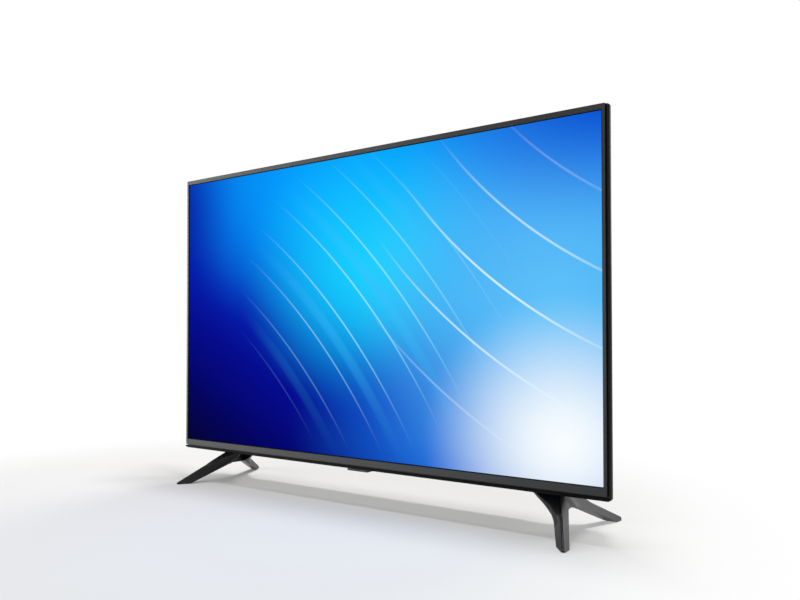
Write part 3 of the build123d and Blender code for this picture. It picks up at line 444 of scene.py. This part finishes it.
# A mid blue lies under the white pool, so that the white's left edge doesn't turn lavender.
picture = painted(picture, "#1668D8", soft_spot((0.24, 0.13), (0.42, 0.22), 1.0))
picture = painted(picture, "#5CC0F8", soft_spot((0.40, 0.33), (0.44, 0.40), 1.0))
picture = painted(picture, "#F6FCFF", soft_spot((0.41, 0.14), (0.27, 0.23), 1.0))
picture = painted(picture, "#0040CC", soft_spot((0.52, 0.67), (0.44, 0.24), 1.0))
picture = painted(picture, "#0012A0", soft_spot((-0.54, 0.56), (0.24, 0.34), 0.9))
print("pools laid over the slope, last at the top left")

# %% [markdown]
# The arcs are the bright crests of ring waves whose middles lie outside the picture. Only the
# very top of each crest is kept, so the lines are a few millimetres wide, and a soft spot keeps
# each fan to one part of the glass.

# %% One fan of arcs
# At a scale of 1 the rings are this far apart in metres.
RING_STEP = math.pi / 10


def arcs(middle, spacing, sharp, where):
    """Thin rings around a middle, at a real spacing in metres, kept to a soft spot."""
    shifted = {"Vector": place, "Location": (middle[0], 0.0, middle[1])}
    about = add_node(screen_tree, "ShaderNodeMapping", shifted, vector_type="TEXTURE")
    rings = add_node(
        screen_tree,
        "ShaderNodeTexWave",
        {"Vector": about.outputs[0], "Scale": RING_STEP / spacing, "Distortion": 0.0},
        wave_type="RINGS",
        rings_direction="Y",
    )
    crest = add_node(
        screen_tree,
        "ShaderNodeMapRange",
        {"Value": rings.outputs["Fac"], "From Min": sharp, "From Max": 1.0},
        interpolation_type="SMOOTHSTEP",
    )
    both = {0: crest.outputs[0], 1: where}
    return add_node(screen_tree, "ShaderNodeMath", both, operation="MULTIPLY").outputs[0]


print("rings 0.1 m apart need a scale of", round(RING_STEP / 0.1, 2))

# %% [markdown]
# Two fans share a middle below the left end: wide soft bands, and thin lines at half their
# spacing. A third has its middle above the right end and crosses them.

# %% Arcs of light
LOW_LEFT = (-0.95, -0.55)
HIGH_RIGHT = (0.85, 1.15)
BAND_SPACING = 0.13
CROSS_SPACING = 0.10

wide_fan = arcs(LOW_LEFT, BAND_SPACING, 0.90, soft_spot((0.04, 0.36), (0.36, 0.30), 0.35))
picture = painted(picture, "#3CC0FF", wide_fan)
fine_fan = arcs(LOW_LEFT, BAND_SPACING / 2, 0.990, soft_spot((0.02, 0.36), (0.34, 0.28), 0.7))
picture = painted(picture, "#A8E8FF", fine_fan)
cross_fan = arcs(HIGH_RIGHT, CROSS_SPACING, 0.994, soft_spot((0.30, 0.36), (0.28, 0.30), 0.8))
picture = painted(picture, "#E8FBFF", cross_fan)
print("bands", BAND_SPACING, "m apart, lines", BAND_SPACING / 2, "m apart")

# %% [markdown]
# Only the front of the panel inside the frame is lit. The rest of the panel is nearly black
# glass, and its gloss is left out because the lit picture outshines it.

# %% Where the panel is lit
# A face looks to the front where its normal's Y is below this.
FACES_FRONT = -0.5

axes = add_node(screen_tree, "ShaderNodeSeparateXYZ", {0: place}).outputs
across = {0: axes[0], 1: 0.0, 2: SCREEN_WIDE / 2}
upright = {0: axes[2], 1: SCREEN_MIDDLE, 2: SCREEN_HIGH / 2}
in_width = add_node(screen_tree, "ShaderNodeMath", across, operation="COMPARE").outputs[0]
in_height = add_node(screen_tree, "ShaderNodeMath", upright, operation="COMPARE").outputs[0]
inside = add_node(screen_tree, "ShaderNodeMath", {0: in_width, 1: in_height}, operation="MULTIPLY")
facing = add_node(screen_tree, "ShaderNodeNewGeometry").outputs["Normal"]
depth = add_node(screen_tree, "ShaderNodeSeparateXYZ", {0: facing}).outputs[1]
front = add_node(screen_tree, "ShaderNodeMath", {0: depth, 1: FACES_FRONT}, operation="LESS_THAN")
both = {0: inside.outputs[0], 1: front.outputs[0]}
lit = add_node(screen_tree, "ShaderNodeMath", both, operation="MULTIPLY").outputs[0]
print("lit inside x", -SCREEN_WIDE / 2, "to", SCREEN_WIDE / 2)

# %% [markdown]
# The picture goes into the emission, with the lit part as its strength: 1 where it is lit and 0
# round it.

# %% Light the panel
screen_shader.inputs["Base Color"].default_value = linear("#050506")
screen_shader.inputs["Roughness"].default_value = 0.25
screen_shader.inputs["Specular IOR Level"].default_value = 0.0
screen_tree.links.new(picture, screen_shader.inputs["Emission Color"])
screen_tree.links.new(lit, screen_shader.inputs["Emission Strength"])
dress(screen, "lcd_panel")
print("not dressed:", sorted(set(NODES) - dressed))

# %% [markdown]
# ## Floor
#
# The set stands on a seamless sheet of white paper, so no horizon shows. A large plane is the
# sheet.

# %% Sheet of paper
FLOOR_SIZE = 60.0

bpy.ops.object.select_all(action="DESELECT")
bpy.ops.mesh.primitive_plane_add(size=FLOOR_SIZE, location=(0, 0, 0))
floor = bpy.context.object
floor.name = "floor"
sheet = bpy.data.materials.new("white_sheet")
sheet.use_nodes = True
sheet_tree = sheet.node_tree
sheet_tree.nodes.clear()
print("sheet", FLOOR_SIZE, "m wide")

# %% [markdown]
# Near the set the paper is matt and takes the shadows. Further out the eye sees plain white. A
# spherical gradient round the set fades one into the other.

# %% Paper that fades to white
SHADOW_REACH = 1.0
SHADOW_MIDDLE = (-0.2, -0.2, 0.0)
# Within this share of the reach the fade hasn't begun.
UNFADED_SHARE = 0.5
PAPER_GLOW = 0.06

pale = add_node(sheet_tree, "ShaderNodeBsdfDiffuse", {"Color": linear("#D7D6D5")})
glow = add_node(sheet_tree, "ShaderNodeEmission", {"Color": linear("#FFFFFF"), "Strength": PAPER_GLOW})
near = add_node(sheet_tree, "ShaderNodeAddShader", {0: pale.outputs[0], 1: glow.outputs[0]})
white = add_node(sheet_tree, "ShaderNodeEmission", {"Color": linear("#FFFFFF"), "Strength": 1.0})
sheet_place = add_node(sheet_tree, "ShaderNodeTexCoord").outputs["Object"]
reach = {"Vector": sheet_place, "Location": SHADOW_MIDDLE, "Scale": (SHADOW_REACH,) * 3}
round_set = add_node(sheet_tree, "ShaderNodeMapping", reach, vector_type="TEXTURE")
close = add_node(
    sheet_tree,
    "ShaderNodeTexGradient",
    {"Vector": round_set.outputs[0]},
    gradient_type="SPHERICAL",
)
soft = add_node(
    sheet_tree,
    "ShaderNodeMapRange",
    {"Value": close.outputs["Fac"], "From Max": 1.0 - UNFADED_SHARE},
    interpolation_type="SMOOTHSTEP",
)
shown = {0: soft.outputs[0], 1: white.outputs[0], 2: near.outputs[0]}
eye_floor = add_node(sheet_tree, "ShaderNodeMixShader", shown)
print("the paper fades to white", SHADOW_REACH, "m from the set")

# %% [markdown]
# The eye, mirrors and clear pieces see that paper. Other rays meet a mid grey floor, so that it
# lights the set from below no more than the floor of a room does.

# %% Paper for the eye, grey floor for the light
room_floor = add_node(sheet_tree, "ShaderNodeBsdfDiffuse", {"Color": linear("#9A9A9A")})
rays = add_node(sheet_tree, "ShaderNodeLightPath").outputs
glossy_or_clear = {0: rays["Is Glossy Ray"], 1: rays["Is Transmission Ray"]}
mirrored = add_node(sheet_tree, "ShaderNodeMath", glossy_or_clear, operation="MAXIMUM").outputs[0]
eye_or_mirrored = {0: rays["Is Camera Ray"], 1: mirrored}
seen = add_node(sheet_tree, "ShaderNodeMath", eye_or_mirrored, operation="MAXIMUM").outputs[0]
by_ray = {0: seen, 1: room_floor.outputs[0], 2: eye_floor.outputs[0]}
surface = add_node(sheet_tree, "ShaderNodeMixShader", by_ray).outputs[0]
add_node(sheet_tree, "ShaderNodeOutputMaterial", {"Surface": surface})
floor.data.materials.append(sheet)
print("floor material", sheet.name)

# %% [markdown]
# ## Light
#
# Five soft boxes light the set. The wide one at the far left lies where the left end of the
# front frame mirrors it, so the frame runs from light grey there to dark grey at the near end.
# The one in front lights the paper before the set. The one above throws a soft shadow straight
# down, and the one behind a weaker one forwards. One behind the right end lies where the outer
# facets of the near leg mirror it.

# %% One soft box


def soft_box(name, place, size, power):
    """A level rectangle of white light that faces the middle of the set."""
    data = bpy.data.lights.new(name, "AREA")
    data.shape = "RECTANGLE"
    data.size, data.size_y = size
    data.energy = power
    box = bpy.data.objects.new(name, data)
    bpy.context.scene.collection.objects.link(box)
    box.location = place
    away = [t - p for t, p in zip((0.0, 0.0, SCREEN_MIDDLE), place)]
    rise = math.atan2(away[2], math.hypot(away[0], away[1]))
    box.rotation_euler = (math.pi / 2 + rise, 0.0, math.atan2(away[1], away[0]) - math.pi / 2)
    print(name, power, "W")


print("a soft box faces the middle of the set, at height", SCREEN_MIDDLE)

# %% [markdown]
# Each soft box has a place, a size in metres and a power in watts.

# %% Soft boxes
soft_box("left_soft_box", (-2.3, -2.1, 0.5), (2.6, 1.2), 68)
soft_box("front_soft_box", (0.2, -3.0, 2.4), (1.8, 1.2), 24)
soft_box("top_soft_box", (0.1, 0.05, 2.4), (0.6, 0.25), 38)
soft_box("back_soft_box", (-0.6, 2.3, 2.0), (1.8, 1.0), 28)
soft_box("far_right_soft_box", (1.2, 2.1, 1.1), (1.3, 0.7), 11)

# %% [markdown]
# The room round the lamps is a plain pale grey. The eye sees it as pure white, so the set stands
# cut out as in a catalogue.

# %% Surroundings
ROOM_LIGHT = 0.27

world = bpy.data.worlds.new("studio")
bpy.context.scene.world = world
world.use_nodes = True
room = world.node_tree
room.nodes.clear()
to_eye = add_node(room, "ShaderNodeLightPath").outputs["Is Camera Ray"]
backdrop = add_node(room, "ShaderNodeBackground", {"Color": linear("#FFFFFF"), "Strength": 1.0})
walls = add_node(room, "ShaderNodeBackground", {"Color": linear("#FFFFFF"), "Strength": ROOM_LIGHT})
split = {0: to_eye, 1: walls.outputs[0], 2: backdrop.outputs[0]}
around = add_node(room, "ShaderNodeMixShader", split).outputs[0]
add_node(room, "ShaderNodeOutputWorld", {"Surface": around})
bpy.context.scene.view_settings.view_transform = "Standard"
print("room light", ROOM_LIGHT)
